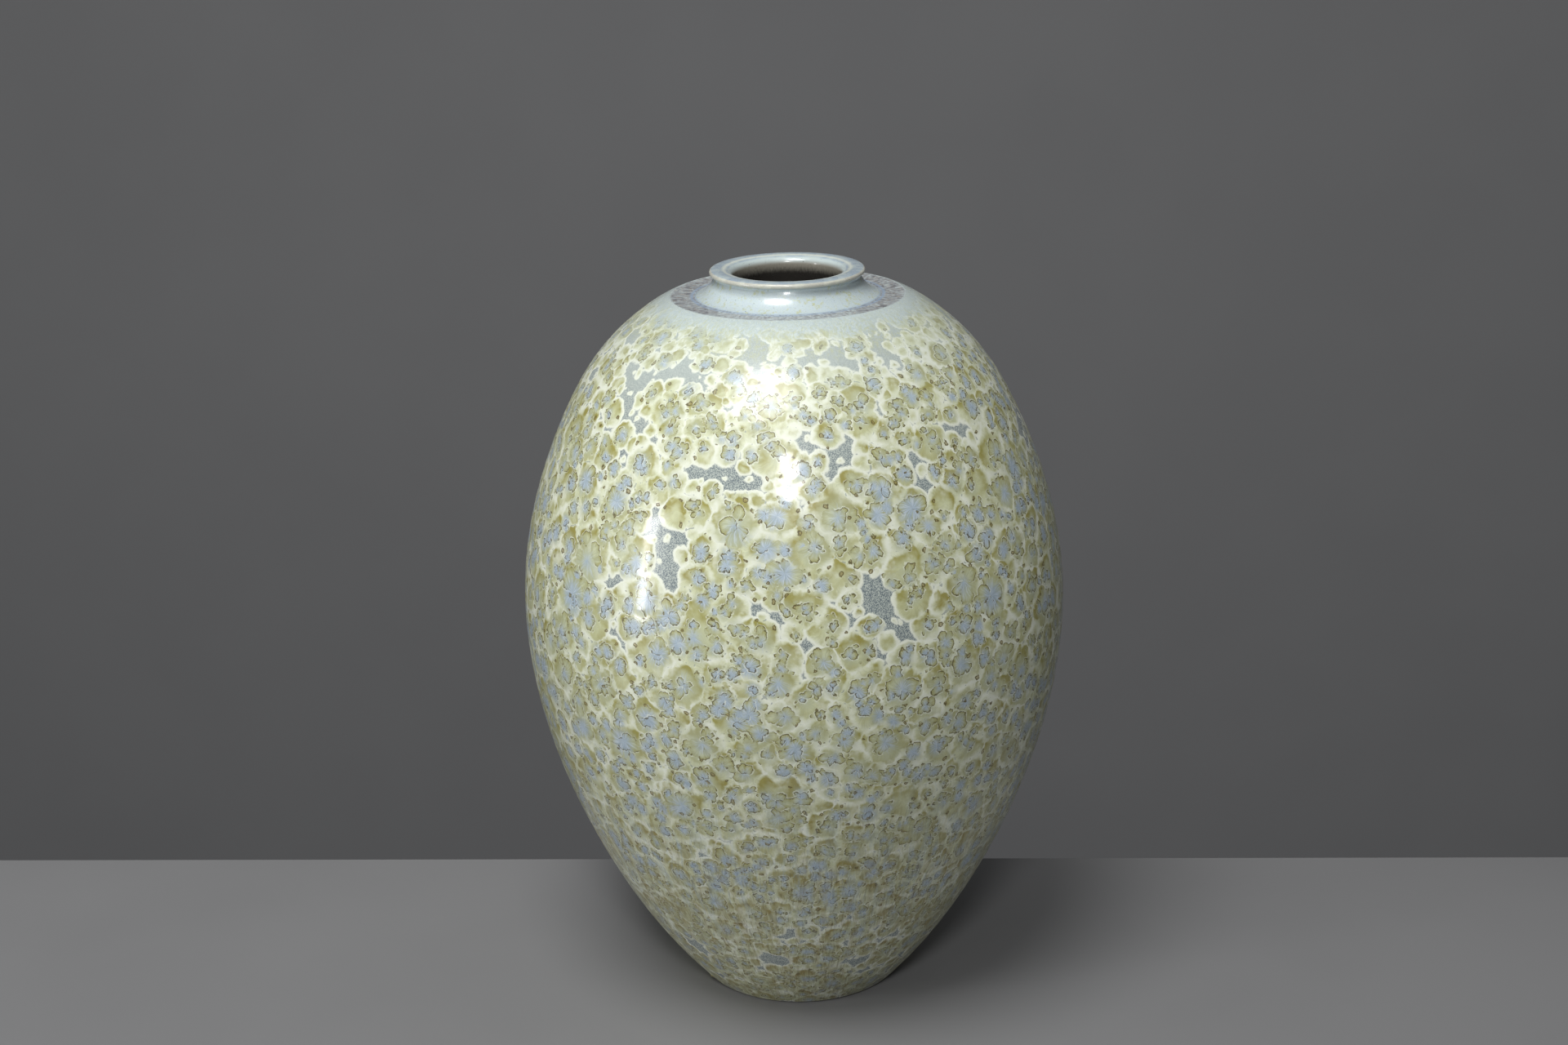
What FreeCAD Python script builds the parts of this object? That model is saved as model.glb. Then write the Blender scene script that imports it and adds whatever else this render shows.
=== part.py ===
import FreeCAD
import Part
import math
import os

# A tall, ovoid moon jar with a short flared neck, glazed inside and out. It is built as a potter builds it:
# a foot ring, two thrown bowls and a neck collar, each luted to the next over a tongue and groove filled
# with slip, and then a glaze coat on each surface. Every piece is one solid of revolution about Z.
# Sizes are in millimetres and angles in degrees. The origin is the centre of the foot, on the table.

# Whole jar, measured over the glaze
jar_height = 400.0
belly_radius = 145.3
waist_height = 220.0

# Clay walls and joints
wall_thickness = 6.5
floor_thickness = 9.0
slip_thickness = 0.8
tongue_depth = 2.4

# Glaze coats: the thick crystalline coat on the body, and the thin one on neck, shoulder and inside
coat_thickness = 1.0
thin_glaze = 0.8

# Foot ring: it stands on a bare flat annulus, and the glaze stops a little above the table
foot_contact_radius = 54.8
foot_contact_width = 7.3
foot_undercut = 2.5
foot_bevel = 1.2
foot_ring_height = 7.0
glaze_line_height = 1.2
foot_slope = 48.6

# Floor inside the jar
floor_flat_radius = 42.0

# Shoulder: the body coat ends at a flat band round the neck
neck_rise = 13.8
band_width = 13.1
band_drop = 0.3
band_sag = 0.25
shoulder_slope = 20.0

# Neck collar: a hollow-sided skirt under a rounded lip
throat_radius = 28.6
neck_wall = 9.8
skirt_flare = 10.0
lip_height = 4.6
lip_overhang = 2.3
lip_thickness = 2.9
lip_under_setback = 1.5
lip_outer_setback = 1.3
lip_outer_drop = 0.3
lip_inner_drop = 0.5
throat_roll_width = 3.4
throat_roll_height = 4.2
throat_corner = 3.0

# Hand-chosen shares: (radius, height) of the stations on each side of the body, and how hollow or full
# the skirt, the lip's crown and the throat's roll are
lower_side_shares = ((0.257, 0.132), (0.469, 0.269), (0.614, 0.383), (0.889, 0.680))
upper_side_shares = ((0.926, 0.301), (0.716, 0.602), (0.472, 0.812), (0.176, 0.951))
skirt_hollow_share = 0.12
bead_middle_share = 0.5
crown_middle_share = 0.5

# Sizes that follow from those above
glaze_foot_radius = foot_contact_radius + foot_undercut
foot_inner_radius = foot_contact_radius - foot_contact_width
foot_joint_top = foot_ring_height + slip_thickness
floor_top = foot_joint_top + floor_thickness
neck_radius = throat_radius + neck_wall
skirt_radius = neck_radius + skirt_flare
shoulder_radius = skirt_radius + band_width
shoulder_height = jar_height - neck_rise
band_inner_height = shoulder_height - band_drop
neck_joint_height = band_inner_height - thin_glaze
collar_base_height = neck_joint_height + slip_thickness
neck_waist_height = jar_height - lip_height
throat_top_height = jar_height - lip_inner_drop - throat_roll_height
clay_throat_radius = throat_radius + thin_glaze
waist_joint_low = waist_height - slip_thickness / 2
waist_joint_high = waist_height + slip_thickness / 2
shoulder_underside = neck_joint_height - wall_thickness


def point(radius, height):
    return FreeCAD.Vector(radius, 0, height)


def direction(angle):
    return point(math.cos(math.radians(angle)), math.sin(math.radians(angle)))


def line(start, end):
    return Part.LineSegment(start, end).toShape()


def lines(points):
    return [line(start, end) for start, end in zip(points, points[1:])]


def arc(start, middle, end):
    return Part.Arc(start, middle, end).toShape()


def bowed(start, end, bow):
    """An arc from start to end whose middle stands off the chord by bow, to the left of the way it runs."""
    chord = end - start
    left = point(-chord.z, chord.x).normalize()
    return arc(start, (start + end) * 0.5 + left * bow, end)


def arc_leaving(start, heading, end):
    """The arc from start to end that sets out along heading."""
    chord = end - start
    cosine = heading.dot(chord) / (heading.Length * chord.Length)
    turn = math.acos(max(-1, min(1, cosine)))
    side = 1 if heading.x * chord.z > heading.z * chord.x else -1
    return bowed(start, end, -side * chord.Length / 2 * math.tan(turn / 2))


def curve_through(stations, start_direction, end_direction):
    """A smooth curve; its speed along the chords is even, so the unit directions aren't scaled."""
    curve = Part.BSplineCurve()
    curve.interpolate(
        Points=stations, InitialTangent=start_direction, FinalTangent=end_direction, Scale=False
    )
    return curve


def parameter_at(curve, height):
    """The parameter where a curve that only climbs reaches a height."""
    low = curve.FirstParameter
    high = curve.LastParameter
    for halving in range(60):
        middle = (low + high) / 2
        if curve.value(middle).z < height:
            low = middle
        else:
            high = middle
    return (low + high) / 2


def stretch(curve, low_height, high_height):
    """The stretch of a climbing curve between two heights; None stands for the curve's own end."""
    piece = curve.copy()
    first = curve.FirstParameter if low_height is None else parameter_at(curve, low_height)
    last = curve.LastParameter if high_height is None else parameter_at(curve, high_height)
    piece.segment(first, last)
    return piece


def ends(curve):
    return curve.value(curve.FirstParameter), curve.value(curve.LastParameter)


def inset_stations(curve, stations, inset):
    """The stations of a side, each moved into the wall by inset, square to the surface."""
    moved = []
    for station in stations:
        along = curve.tangent(curve.parameter(station))[0]
        moved.append(station + point(-along.z, along.x) * inset)
    return moved


def lower_stations():
    climb = waist_joint_low - glaze_line_height
    swell = belly_radius - glaze_foot_radius
    between = [
        point(glaze_foot_radius + swell * out, glaze_line_height + climb * up) for out, up in lower_side_shares
    ]
    return [point(glaze_foot_radius, glaze_line_height)] + between + [point(belly_radius, waist_joint_low)]


def upper_stations():
    climb = shoulder_height - waist_joint_high
    swell = belly_radius - shoulder_radius
    between = [
        point(shoulder_radius + swell * out, waist_joint_high + climb * up) for out, up in upper_side_shares
    ]
    return [point(belly_radius, waist_joint_high)] + between + [point(shoulder_radius, shoulder_height)]


up = point(0, 1)
inwards = point(-1, 0)
outwards = point(1, 0)
lower_coat_stations = lower_stations()
upper_coat_stations = upper_stations()
lower_coat_side = curve_through(lower_coat_stations, direction(foot_slope), up)
upper_coat_side = curve_through(upper_coat_stations, up, direction(180 - shoulder_slope))


def lower_clay_side():
    """The outside of the foot ring and the lower bowl, under the glaze coat."""
    stations = inset_stations(lower_coat_side, lower_coat_stations, coat_thickness)
    return curve_through(stations, direction(foot_slope), up)


def upper_clay_side():
    stations = inset_stations(upper_coat_side, upper_coat_stations, coat_thickness)
    return curve_through(stations, up, direction(180 - shoulder_slope))


def lower_inside(lining):
    """The inside of the lower bowl from the flat of the floor to the waist, under a lining this thick."""
    inset = coat_thickness + wall_thickness + lining
    wall = inset_stations(lower_coat_side, lower_coat_stations, inset)[1:]
    return curve_through([point(floor_flat_radius, floor_top + lining)] + wall, outwards, up)


def upper_inside(lining):
    """The inside of the upper bowl from the waist to the corner of the throat, under a lining this thick."""
    inset = coat_thickness + wall_thickness + lining
    wall = inset_stations(upper_coat_side, upper_coat_stations, inset)[:-1]
    corner = point(clay_throat_radius + throat_corner, shoulder_underside - lining)
    return curve_through(wall + [corner], up, inwards)


lower_clay = lower_clay_side()
upper_clay = upper_clay_side()
lower_wall_inside = lower_inside(0)
upper_wall_inside = upper_inside(0)
lower_liner_inside = lower_inside(thin_glaze)
upper_liner_inside = upper_inside(thin_glaze)


def joint_line(inner, outer):
    """One face of a luted joint, from inside to outside: a shallow groove with its tongue pointing down."""
    middle = (inner + outer) * 0.5 - up * tongue_depth
    return [inner, middle, outer]


def turned(edges):
    """The solid that a closed outline sweeps about the jar's axis."""
    face = Part.Face(Part.Wire(Part.__sortEdges__(edges)))
    solid = face.revolve(point(0, 0), up, 360)
    return solid if solid.Volume > 0 else solid.reversed()


def foot_ring():
    side = stretch(lower_clay, None, foot_ring_height)
    glaze_line, side_top = ends(side)
    joint = joint_line(point(foot_inner_radius, foot_ring_height), side_top)
    base = [
        glaze_line,
        point(foot_contact_radius, 0),
        point(foot_inner_radius + foot_bevel, 0),
        point(foot_inner_radius, foot_bevel),
        joint[0],
    ]
    return turned([side.toShape()] + lines(base) + lines(joint))


def foot_slip_seam():
    side = stretch(lower_clay, foot_ring_height, foot_joint_top)
    low_outer, high_outer = ends(side)
    low = joint_line(point(foot_inner_radius, foot_ring_height), low_outer)
    high = joint_line(point(foot_inner_radius, foot_joint_top), high_outer)
    return turned([side.toShape(), line(low[0], high[0])] + lines(low) + lines(high))


def lower_bowl():
    side = stretch(lower_clay, foot_joint_top, None)
    side_low, side_top = ends(side)
    floor_edge, inside_top = ends(lower_wall_inside)
    foot_joint = joint_line(point(foot_inner_radius, foot_joint_top), side_low)
    waist_joint = joint_line(inside_top, side_top)
    floor = [floor_edge, point(0, floor_top), point(0, foot_joint_top), foot_joint[0]]
    curves = [side.toShape(), lower_wall_inside.toShape()]
    return turned(curves + lines(floor) + lines(foot_joint) + lines(waist_joint))


def waist_slip_seam():
    low = joint_line(ends(lower_wall_inside)[1], ends(lower_clay)[1])
    high = joint_line(ends(upper_wall_inside)[0], ends(upper_clay)[0])
    return turned(lines(low) + lines(high) + [line(low[0], high[0]), line(low[-1], high[-1])])


def neck_joint(height):
    """The joint under the neck collar: the slip's outer edge leans in as the skirt above it does."""
    lean = height - neck_joint_height
    return joint_line(point(clay_throat_radius, height), point(skirt_radius - thin_glaze - lean, height))


def throat_corner_arc(lining):
    """The rounded corner where the inside of the shoulder turns up into the throat."""
    size = throat_corner + lining
    centre = point(clay_throat_radius + throat_corner, shoulder_underside + throat_corner)
    below = centre - up * size
    beside = centre + inwards * size
    between = centre + direction(225) * size
    return arc(below, between, beside), beside


def upper_bowl():
    waist_joint = joint_line(ends(upper_wall_inside)[0], ends(upper_clay)[0])
    corner, throat = throat_corner_arc(0)
    seat = neck_joint(neck_joint_height)
    curves = [upper_clay.toShape(), upper_wall_inside.toShape(), corner]
    straights = [line(throat, seat[0]), line(seat[-1], ends(upper_clay)[1])]
    return turned(curves + straights + lines(seat) + lines(waist_joint))


def neck_slip_seam():
    low = neck_joint(neck_joint_height)
    high = neck_joint(collar_base_height)
    return turned(lines(low) + lines(high) + [line(low[0], high[0]), line(low[-1], high[-1])])


def skirt(foot, inset):
    """The hollow side of the neck, from its foot up to the narrow waist under the lip."""
    top = point(neck_radius - inset, neck_waist_height)
    return bowed(foot, top, (top - foot).Length * skirt_hollow_share)


def lip(inset):
    """The rounded lip from the neck's waist, over its bead and crown, to the straight of the throat."""
    rim = neck_radius + lip_overhang
    waist = point(neck_radius - inset, neck_waist_height)
    under = point(rim - lip_under_setback, jar_height - lip_thickness + inset)
    outer_edge = point(rim - lip_outer_setback, jar_height - lip_outer_drop - inset)
    bead = point(rim - inset, under.z + (outer_edge.z - under.z) * bead_middle_share)
    inner_edge = point(throat_radius + throat_roll_width, jar_height - lip_inner_drop - inset)
    crown_radius = outer_edge.x + (inner_edge.x - outer_edge.x) * crown_middle_share
    throat = point(throat_radius + inset, throat_top_height)
    return [
        arc_leaving(waist, up, under),
        arc(under, bead, outer_edge),
        arc(outer_edge, point(crown_radius, jar_height - inset), inner_edge),
        arc_leaving(throat, up, inner_edge),
    ]


def neck_collar():
    base = neck_joint(collar_base_height)
    throat = point(clay_throat_radius, throat_top_height)
    side = [skirt(base[-1], thin_glaze)] + lip(thin_glaze)
    return turned(side + lines(base) + [line(throat, base[0])])


def lower_glaze_coat():
    coat_top = point(belly_radius, waist_height)
    clay_top = point(belly_radius - coat_thickness, waist_height)
    coat_low, coat_high = ends(lower_coat_side)
    clay_low, clay_high = ends(lower_clay)
    straights = [line(coat_low, clay_low)] + lines([coat_high, coat_top, clay_top, clay_high])
    return turned([lower_coat_side.toShape(), lower_clay.toShape()] + straights)


def upper_glaze_coat():
    coat_base = point(belly_radius, waist_height)
    clay_base = point(belly_radius - coat_thickness, waist_height)
    coat_low, coat_high = ends(upper_coat_side)
    clay_low, clay_high = ends(upper_clay)
    straights = [line(coat_high, clay_high)] + lines([coat_low, coat_base, clay_base, clay_low])
    return turned([upper_coat_side.toShape(), upper_clay.toShape()] + straights)


def shoulder_band_glaze():
    coat_edge = point(shoulder_radius, shoulder_height)
    skirt_foot = point(skirt_radius, band_inner_height)
    clay_inner = neck_joint(neck_joint_height)[-1]
    under = [skirt_foot, clay_inner, ends(upper_clay)[1], coat_edge]
    return turned([bowed(coat_edge, skirt_foot, band_sag)] + lines(under))


def neck_glaze():
    skirt_foot = point(skirt_radius, band_inner_height)
    clay_foot = neck_joint(neck_joint_height)[-1]
    slip_top = neck_joint(collar_base_height)[-1]
    throat_end = [
        point(throat_radius, throat_top_height),
        point(throat_radius, neck_joint_height),
        point(clay_throat_radius, neck_joint_height),
        point(clay_throat_radius, throat_top_height),
    ]
    over = [skirt(skirt_foot, 0)] + lip(0)
    under = [skirt(slip_top, thin_glaze)] + lip(thin_glaze)
    return turned(over + under + lines([skirt_foot, clay_foot, slip_top]) + lines(throat_end))


def lower_liner_glaze():
    clay_floor, clay_top = ends(lower_wall_inside)
    liner_floor, liner_top = ends(lower_liner_inside)
    clay_waist = point(clay_top.x, waist_height)
    liner_waist = point(liner_top.x, waist_height)
    floor = [clay_floor, point(0, clay_floor.z), point(0, liner_floor.z), liner_floor]
    rim = [clay_top, clay_waist, liner_waist, liner_top]
    curves = [lower_wall_inside.toShape(), lower_liner_inside.toShape()]
    return turned(curves + lines(floor) + lines(rim))


def upper_liner_glaze():
    clay_base = ends(upper_wall_inside)[0]
    liner_base = ends(upper_liner_inside)[0]
    clay_corner, clay_throat = throat_corner_arc(0)
    liner_corner, liner_throat = throat_corner_arc(thin_glaze)
    base = [clay_base, point(clay_base.x, waist_height), point(liner_base.x, waist_height), liner_base]
    top = [
        clay_throat,
        point(clay_throat_radius, neck_joint_height),
        point(throat_radius, neck_joint_height),
        liner_throat,
    ]
    curves = [upper_wall_inside.toShape(), upper_liner_inside.toShape(), clay_corner, liner_corner]
    return turned(curves + lines(base) + lines(top))


pieces = {
    "foot_ring": foot_ring,
    "foot_slip_seam": foot_slip_seam,
    "lower_bowl": lower_bowl,
    "waist_slip_seam": waist_slip_seam,
    "upper_bowl": upper_bowl,
    "neck_slip_seam": neck_slip_seam,
    "neck_collar": neck_collar,
    "lower_glaze_coat": lower_glaze_coat,
    "upper_glaze_coat": upper_glaze_coat,
    "shoulder_band_glaze": shoulder_band_glaze,
    "neck_glaze": neck_glaze,
    "lower_liner_glaze": lower_liner_glaze,
    "upper_liner_glaze": upper_liner_glaze,
}

os.makedirs("parts", exist_ok=True)
for name, make in pieces.items():
    solid = make()
    solid.exportStep("parts/" + name + ".step")
    print(name, "valid" if solid.isValid() else "NOT VALID", round(solid.Volume / 1000, 2), "cm3")
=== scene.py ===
import math

import bpy
import numpy as np
from bpy.props import FloatProperty, FloatVectorProperty, IntProperty, PointerProperty
from bpy.types import Operator, Panel, PropertyGroup
from mathutils import Matrix, Vector


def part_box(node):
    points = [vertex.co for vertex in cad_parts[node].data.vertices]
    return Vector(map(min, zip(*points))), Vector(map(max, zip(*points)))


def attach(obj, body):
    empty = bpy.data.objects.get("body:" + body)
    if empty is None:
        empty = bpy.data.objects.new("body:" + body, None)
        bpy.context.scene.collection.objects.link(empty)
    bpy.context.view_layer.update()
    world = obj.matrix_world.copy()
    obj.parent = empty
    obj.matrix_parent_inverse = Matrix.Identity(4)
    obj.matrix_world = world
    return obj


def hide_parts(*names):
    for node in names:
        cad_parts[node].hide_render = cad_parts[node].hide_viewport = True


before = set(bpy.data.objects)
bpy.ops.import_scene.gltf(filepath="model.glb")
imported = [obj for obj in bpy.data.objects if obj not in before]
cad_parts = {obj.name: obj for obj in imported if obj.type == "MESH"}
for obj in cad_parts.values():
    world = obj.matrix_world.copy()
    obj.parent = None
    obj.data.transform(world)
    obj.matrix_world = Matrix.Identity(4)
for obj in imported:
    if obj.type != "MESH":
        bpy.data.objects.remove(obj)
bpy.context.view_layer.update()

bl_info = {
    "name": "Moon jar in crystalline glaze",
    "version": (1, 0, 0),
    "blender": (4, 2, 0),
    "location": "View3D > Sidebar > Moon jar",
    "description": "Turns, glazes and lights a tall ovoid jar with crystals grown in its glaze",
    "category": "Object",
}

MM = 0.001

# What the frame says of the jar, in metres
foot_low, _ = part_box("foot_ring")
_, shoulder_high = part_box("upper_glaze_coat")
_, jar_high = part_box("neck_glaze")
FLOOR = foot_low.z
SHOULDER = shoulder_high.z
LIP = jar_high.z
JAR_HEIGHT = LIP - FLOOR
LIP_MARGIN = 1e-6


def tint(red, green, blue):
    """A colour named by its screen values, 0 to 255, as the renderer's linear values."""
    return tuple(
        (part / 255 / 12.92) if part <= 10 else ((part / 255 + 0.055) / 1.055) ** 2.4
        for part in (red, green, blue)
    )


def colour(name, about, red, green, blue):
    return FloatVectorProperty(
        name=name, description=about, default=tint(red, green, blue), subtype="COLOR", min=0.0, max=1.0
    )


def length(name, about, metres, least=0.0):
    return FloatProperty(
        name=name, description=about, default=metres, min=least, unit="LENGTH", precision=5
    )


def angle(name, about, degrees):
    return FloatProperty(name=name, description=about, default=math.radians(degrees), subtype="ANGLE")


class CrystalSizes(PropertyGroup):
    """How the crystals grow and crowd in the glaze."""

    largest: length("Largest crystal", "Radius of the largest crystals, on the belly", 0.0104)
    smallest: length("Smallest crystal", "Radius of the crystals under the shoulder", 0.0046)
    clear_shoulder: length("Clear shoulder", "Height above which the glaze grows no crystals", 0.3822)
    relief: length("Relief", "How far the crystals stand up in the glaze", 0.00012)
    skin: length("Skin", "Depth under the fired surface at which the glaze's relief starts", 0.00025)
    nib_width: length("Nib width", "Half width and height of the drip of glaze left near the foot", 0.0012)
    nib_height: length("Nib height", "Height of the drip over the table", 0.0068)
    nib_turn: angle("Nib turn", "Turn of the drip from the front, less than 0 to the left", -54)
    seed: IntProperty(name="Seed", description="Fixes where the crystals start to grow", default=23)


class GlazeColours(PropertyGroup):
    """The colours of the fired glazes and the clay."""

    cream: colour("Crystal cream", "Pale inside of a crystal", 213, 218, 178)
    rim: colour("Crystal rim", "Whitish edge of a crystal", 234, 238, 222)
    olive: colour("Crystal olive", "Upper edge of a crystal", 158, 153, 82)
    ochre: colour("Crystal ochre", "Brown side of the olive, lower on the jar", 148, 134, 80)
    needle: colour("Needles", "Blue needles at a crystal's heart", 148, 172, 200)
    needle_light: colour("Needle lights", "Pale edges of the needles", 196, 208, 218)
    lobe: colour("Lobes", "Grey-green lobes round a heart", 178, 184, 154)
    outline: colour("Outlines", "Dark scalloped edge of a lobe", 84, 76, 42)
    ground: colour("Ground", "Bare glaze between the crystals", 190, 198, 190)
    grain: colour("Grain", "Dark grains in the bare glaze", 114, 126, 130)
    shoulder: colour("Shoulder", "Pale glaze above the crystals", 196, 209, 208)
    hair: colour("Hair streaks", "Yellow-green streaks in the pale glaze", 186, 188, 128)
    band: colour("Band", "Lilac-grey band round the neck", 172, 177, 179)
    band_dark: colour("Band streaks", "Dark streaks of the band", 114, 114, 118)
    bead: colour("Bead", "Beige glaze on the lip's edge", 196, 194, 180)
    lip: colour("Lip", "Bluish glaze on top of the lip", 164, 180, 192)
    # Painted shade: Throat and Inside darken the glaze to grey and near-black down the throat and inside the
    # jar, where the light falls off
    throat: colour("Throat", "Grey-cream glaze in the throat", 144, 140, 128)
    inside: colour("Inside", "Darker glaze inside the jar", 44, 42, 39)
    clay: colour("Clay", "Bare fired stoneware", 186, 170, 146)
    iron: colour("Iron", "Specks of iron in the clay and glaze", 62, 52, 42)


class StudioSettings(PropertyGroup):
    """Where the camera and the table stand, and the colours of the table and the wall."""

    camera_back: length("Camera back", "Distance of the camera in front of the jar's axis", 1.1641)
    camera_high: length("Camera high", "Height of the camera above the table", 0.6495)
    camera_aside: length("Camera aside", "Camera's place right of the axis", -0.0046, least=-1.0)
    camera_dip: angle("Camera dip", "How far the camera looks down", 18.487)
    camera_roll: angle("Camera roll", "How far the camera leans to the side", -1.3)
    focal_length: FloatProperty(name="Lens", description="Focal length in millimetres", default=52.37)
    table_back: length("Table back", "Distance from the jar's axis to the table's far edge", 0.117)
    table_turn: angle("Table turn", "How far the table is turned under the jar", -2.6)
    floor: colour("Table", "Grey table that the jar stands on", 128, 128, 129)
    wall: colour("Wall", "Wall behind the table", 152, 152, 153)


class MoonJarSettings(PropertyGroup):
    """Every setting of the jar."""

    crystals: PointerProperty(type=CrystalSizes, name="Crystals", description="How the crystals grow")
    colours: PointerProperty(type=GlazeColours, name="Colours", description="Glaze and clay colours")
    studio: PointerProperty(type=StudioSettings, name="Studio", description="Camera, table and lamps")


# Shader maths


class Strand:
    """A number, colour or vector on its way between a finish's nodes."""

    def __init__(self, finish, socket):
        self.finish = finish
        self.socket = socket

    def maths(self, operation, *others):
        if self.socket.type == "VALUE":
            return self.finish.add("ShaderNodeMath", {"operation": operation}, self, *others)
        others = [(other,) * 3 if isinstance(other, (int, float)) else other for other in others]
        return self.finish.add("ShaderNodeVectorMath", {"operation": operation}, self, *others)

    def __add__(self, other):
        return self.maths("ADD", other)

    __radd__ = __add__

    def __sub__(self, other):
        return self.maths("SUBTRACT", other)

    def __rsub__(self, other):
        return -self + other

    def __mul__(self, other):
        return self.maths("MULTIPLY", other)

    def __truediv__(self, other):
        return self.maths("DIVIDE", other)

    def __neg__(self):
        return self * -1

    def __lt__(self, other):
        return self.maths("LESS_THAN", other)

    def __gt__(self, other):
        return self.maths("GREATER_THAN", other)

    def least(self, other):
        return self.maths("MINIMUM", other)

    def most(self, other):
        return self.maths("MAXIMUM", other)

    def size(self):
        return self.maths("ABSOLUTE")

    def held(self):
        """The value held between 0 and 1."""
        return self.finish.add("ShaderNodeClamp", {}, self)

    def rise(self, low, high, start=0.0, end=1.0):
        """Goes smoothly from start to end as the value goes from low to high."""
        return self.finish.add(
            "ShaderNodeMapRange", {"interpolation_type": "SMOOTHSTEP"}, self, low, high, start, end
        )

    def near(self, middle, spread):
        """1 at the middle, falling to 0 a spread away on either side."""
        return (self - middle).size().rise(0.0, spread, 1.0, 0.0)

    def reach(self):
        return self.finish.add("ShaderNodeVectorMath", {"operation": "LENGTH"}, self, output="Value")

    def aim(self):
        return self.maths("NORMALIZE")

    def along(self, other):
        """How far one vector points along another, for vectors of length 1."""
        return self.finish.add(
            "ShaderNodeVectorMath", {"operation": "DOT_PRODUCT"}, self, other, output="Value"
        )

    def parts(self):
        """The vector's three numbers."""
        split = self.finish.add("ShaderNodeSeparateXYZ", {}, self).socket.node
        return [Strand(self.finish, socket) for socket in split.outputs]


COAT_ROUGHNESS = 0.09


class Finish:
    """A material made of nodes, with the jar's own places in millimetres to read."""

    def __init__(self, name):
        self.material = bpy.data.materials.new(name)
        self.material.use_nodes = True
        self.nodes = self.material.node_tree.nodes
        self.links = self.material.node_tree.links
        self.surface = self.nodes["Principled BSDF"]

    def add(self, kind, settings, *inputs, output=0, **named):
        node = self.nodes.new(kind)
        for name, value in settings.items():
            setattr(node, name, value)
        for key, value in [*enumerate(inputs), *named.items()]:
            self.feed(node.inputs[key], value)
        return Strand(self, node.outputs[output])

    def feed(self, socket, value):
        if isinstance(value, Strand):
            self.links.new(value.socket, socket)
        else:
            socket.default_value = value

    def place(self):
        """The place on the jar, in millimetres."""
        return self.add("ShaderNodeTexCoord", {}, output="Object") * (1 / MM)

    def attribute(self, name):
        return self.add("ShaderNodeAttribute", {"attribute_name": name}, output="Vector")

    def arrow(self, x=0.0, y=0.0, z=0.0):
        return self.add("ShaderNodeCombineXYZ", {}, x, y, z)

    def noise(self, where, scale, detail=2.0, roughness=0.5, output="Fac"):
        named = {"Vector": where, "Scale": scale, "Detail": detail, "Roughness": roughness}
        return self.add("ShaderNodeTexNoise", {}, output=output, **named)

    def drift(self, where, scale, amount, detail=2.0):
        """A vector that wanders by the amount from place to place."""
        loose = self.noise(where, scale, detail, output="Color")
        spread = self.add("ShaderNodeVectorMath", {"operation": "SUBTRACT"}, loose, (0.5, 0.5, 0.5))
        return spread * amount

    def mix(self, kind, output, first_input, share, first, second):
        """first where share is 0, second where it is 1; each kind has its own places on the Mix node."""
        mixed = self.add("ShaderNodeMix", {"data_type": kind}, share, output=output)
        inputs = mixed.socket.node.inputs
        self.feed(inputs[first_input], first)
        self.feed(inputs[first_input + 1], second)
        return mixed

    def blend(self, share, first, second):
        """Colours mixed by the share of the second."""
        opaque = [value if isinstance(value, Strand) else (*value, 1.0) for value in (first, second)]
        return self.mix("RGBA", 2, 6, share, *opaque)

    def choose(self, share, first, second):
        """Vectors mixed by the share of the second."""
        return self.mix("VECTOR", 1, 4, share, first, second)

    def finish(self, base, roughness, bump=None, depth=0.0, coat=0.0):
        """Feeds the surface shader; depth is how far the bump's 1 stands above its 0, in metres."""
        self.feed(self.surface.inputs["Base Color"], base)
        self.feed(self.surface.inputs["Roughness"], roughness)
        self.surface.inputs["Coat Weight"].default_value = coat
        self.surface.inputs["Coat Roughness"].default_value = COAT_ROUGHNESS
        if bump is not None:
            named = {"Strength": 1.0, "Distance": depth, "Height": bump}
            normal = self.add("ShaderNodeBump", {}, output="Normal", **named)
            self.feed(self.surface.inputs["Normal"], normal)
        return self.material


class Coats:
    """Colours laid one over another, each by its share."""

    def __init__(self, finish, colours, first):
        self.finish = finish
        self.colours = colours
        self.colour = self.mixed(first)

    def mixed(self, colour):
        """A colour given by its name in the settings, or made by nodes."""
        return getattr(self.colours, colour) if isinstance(colour, str) else colour

    def lay(self, share, colour):
        self.colour = self.finish.blend(share, self.colour, self.mixed(colour))


# Crystals


class Fired:
    """The fired outside of the body, as lengths along its line and turns about its axis."""

    def __init__(self, line):
        self.line = line
        steps = np.linalg.norm(np.diff(line, axis=0), axis=1)
        self.along = np.concatenate([[0.0], np.cumsum(steps)])
        ring = line[:, 0] * np.gradient(self.along)
        self.share = np.cumsum(ring) / ring.sum()

    def on_line(self, along):
        """Radius and height at lengths along the line."""
        return np.array([np.interp(along, self.along, self.line[:, axis]) for axis in (0, 1)])

    def spots(self, along, turn):
        """Centres, sideways and uphill directions of places on the surface."""
        radius, height = self.on_line(along)
        step = 1.5 * MM
        behind, ahead = (np.clip(along + way, 0, self.along[-1]) for way in (-step, step))
        rise = self.on_line(ahead) - self.on_line(behind)
        run, climb = rise / np.hypot(*rise)
        out = np.stack([np.sin(turn), -np.cos(turn)], axis=-1)
        centre = np.concatenate([out * radius[:, None], height[:, None]], axis=1)
        side = np.stack([np.cos(turn), np.sin(turn), np.zeros_like(turn)], axis=-1)
        up = np.concatenate([out * run[:, None], climb[:, None]], axis=1)
        return centre, side, up

    def scattered(self, random, count):
        along = np.interp(random.random(count), self.share, self.along)
        return along, random.random(count) * math.tau

    def at_height(self, height):
        return np.interp(height, self.line[:, 1], self.along)

    def traced(self, centre):
        """The length along the line and the turn of each centre."""
        return self.at_height(centre[:, 2]), np.arctan2(centre[:, 0], -centre[:, 1])
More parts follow.
